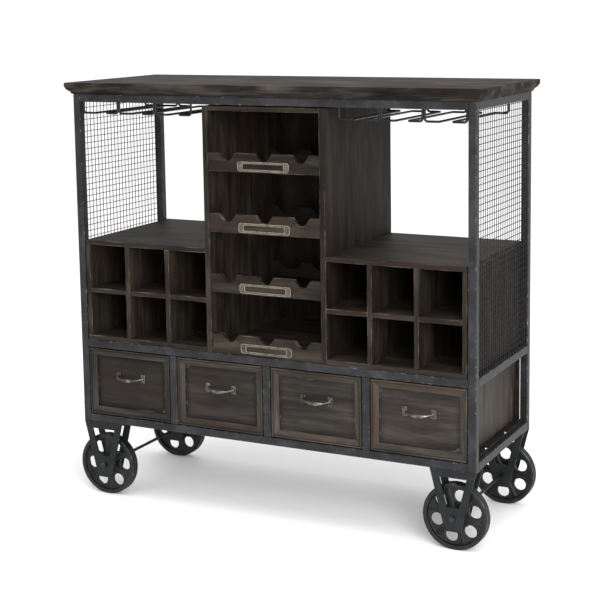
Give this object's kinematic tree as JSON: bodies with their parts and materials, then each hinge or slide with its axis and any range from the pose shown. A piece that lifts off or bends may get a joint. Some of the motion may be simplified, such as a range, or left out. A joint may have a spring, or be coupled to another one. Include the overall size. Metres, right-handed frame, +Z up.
{
  "type": "bar cart",
  "caption": "Industrial bar cart on iron trolley wheels: steel tube frame, planked top, bottle column, cubbies, drawers, mesh sides and hanging stemware racks.",
  "frame": {"origin": "on the floor, under the middle of the cart's bounding box", "axes": "+X to the cart's right as seen from its front, -Y out of its front, +Z up"},
  "size_m": [1.13, 0.427, 1.078],
  "materials": {
    "top_wood": "planked hardwood, grey-brown stain, rubbed and lightly polished",
    "cabinet_wood": "grey-brown stained boards, rubbed",
    "drawer_wood": "grey-brown stained boards with reddish and olive streaks",
    "inner_wood": "dark stained plywood and battens",
    "frame_steel": "welded square tube, gun-metal paint, worn at the edges",
    "fork_steel": "welded plate, gun-metal paint",
    "mesh_steel": "welded wire mesh, gun-metal paint",
    "rack_steel": "bent round rod, gun-metal paint",
    "cast_iron": "cast and painted black, rubbed bright on the raised edges",
    "axle_steel": "blackened steel rod and nuts",
    "screw_steel": "zinc-plated pan heads",
    "aged_brass": "pressed label frames, aged brass",
    "pewter": "cast pulls, dark pewter plate rubbed bright"
  },
  "bodies": {
    "cart": {"axle_left": "axle_steel", "axle_nuts": "axle_steel", "axle_right": "axle_steel", "back_panels": "inner_wood", "bottle_rest_1": "cabinet_wood", "bottle_rest_2": "cabinet_wood", "bottle_rest_3": "cabinet_wood", "bottle_rest_4": "cabinet_wood", "bottom_rails": "frame_steel", "cabinet_deck": "inner_wood", "case_back": "inner_wood", "case_floor": "inner_wood", "case_sides": "drawer_wood", "column_side_left": "cabinet_wood", "column_side_right": "cabinet_wood", "column_top_and_floor": "cabinet_wood", "cubby_shelves_left": "cabinet_wood", "cubby_shelves_right": "cabinet_wood", "cubby_top_left": "cabinet_wood", "cubby_top_right": "cabinet_wood", "cubby_uprights_left": "cabinet_wood", "cubby_uprights_right": "cabinet_wood", "drawer_partitions": "inner_wood", "drawer_runners": "inner_wood", "drawer_uprights": "frame_steel", "floor_screws": "screw_steel", "front_left_post": "frame_steel", "front_right_post": "frame_steel", "label_holders": "aged_brass", "mesh_panel_left": "mesh_steel", "mesh_panel_right": "mesh_steel", "middle_rails": "frame_steel", "rear_bottle_rests": "cabinet_wood", "rear_left_post": "frame_steel", "rear_right_post": "frame_steel", "stemware_rack_left": "rack_steel", "stemware_rack_right": "rack_steel", "top_rails": "frame_steel", "wheel_fork_front_left": "fork_steel", "wheel_fork_front_right": "fork_steel", "wheel_fork_rear_left": "fork_steel", "wheel_fork_rear_right": "fork_steel", "wooden_top": "top_wood"},
    "drawer_1": {"drawer_front_1": "drawer_wood", "drawer_box_1": "inner_wood", "drawer_pull_1": "pewter"},
    "drawer_2": {"drawer_front_2": "drawer_wood", "drawer_box_2": "inner_wood", "drawer_pull_2": "pewter"},
    "drawer_3": {"drawer_front_3": "drawer_wood", "drawer_box_3": "inner_wood", "drawer_pull_3": "pewter"},
    "drawer_4": {"drawer_front_4": "drawer_wood", "drawer_box_4": "inner_wood", "drawer_pull_4": "pewter"},
    "rolling_wheel_front_left": {"wheel_front_left": "cast_iron"},
    "rolling_wheel_front_right": {"wheel_front_right": "cast_iron"},
    "rolling_wheel_rear_left": {"wheel_rear_left": "cast_iron"},
    "rolling_wheel_rear_right": {"wheel_rear_right": "cast_iron"}
  },
  "joints": [
    {"name": "drawer_1_slide", "type": "slide", "parent": "cart", "child": "drawer_1", "axis": [0, -1, 0], "range_m": [0, 0.24]},
    {"name": "drawer_2_slide", "type": "slide", "parent": "cart", "child": "drawer_2", "axis": [0, -1, 0], "range_m": [0, 0.24]},
    {"name": "drawer_3_slide", "type": "slide", "parent": "cart", "child": "drawer_3", "axis": [0, -1, 0], "range_m": [0, 0.24]},
    {"name": "drawer_4_slide", "type": "slide", "parent": "cart", "child": "drawer_4", "axis": [0, -1, 0], "range_m": [0, 0.24]},
    {"name": "wheel_front_left_spin", "type": "hinge", "parent": "cart", "child": "rolling_wheel_front_left", "pos_m": [-0.485, -0.1725, 0.08], "axis": [0, 1, 0], "continuous": true},
    {"name": "wheel_front_right_spin", "type": "hinge", "parent": "cart", "child": "rolling_wheel_front_right", "pos_m": [0.485, -0.1725, 0.08], "axis": [0, 1, 0], "continuous": true},
    {"name": "wheel_rear_left_spin", "type": "hinge", "parent": "cart", "child": "rolling_wheel_rear_left", "pos_m": [-0.485, 0.1725, 0.08], "axis": [0, 1, 0], "continuous": true},
    {"name": "wheel_rear_right_spin", "type": "hinge", "parent": "cart", "child": "rolling_wheel_rear_right", "pos_m": [0.485, 0.1725, 0.08], "axis": [0, 1, 0], "continuous": true}
  ]
}
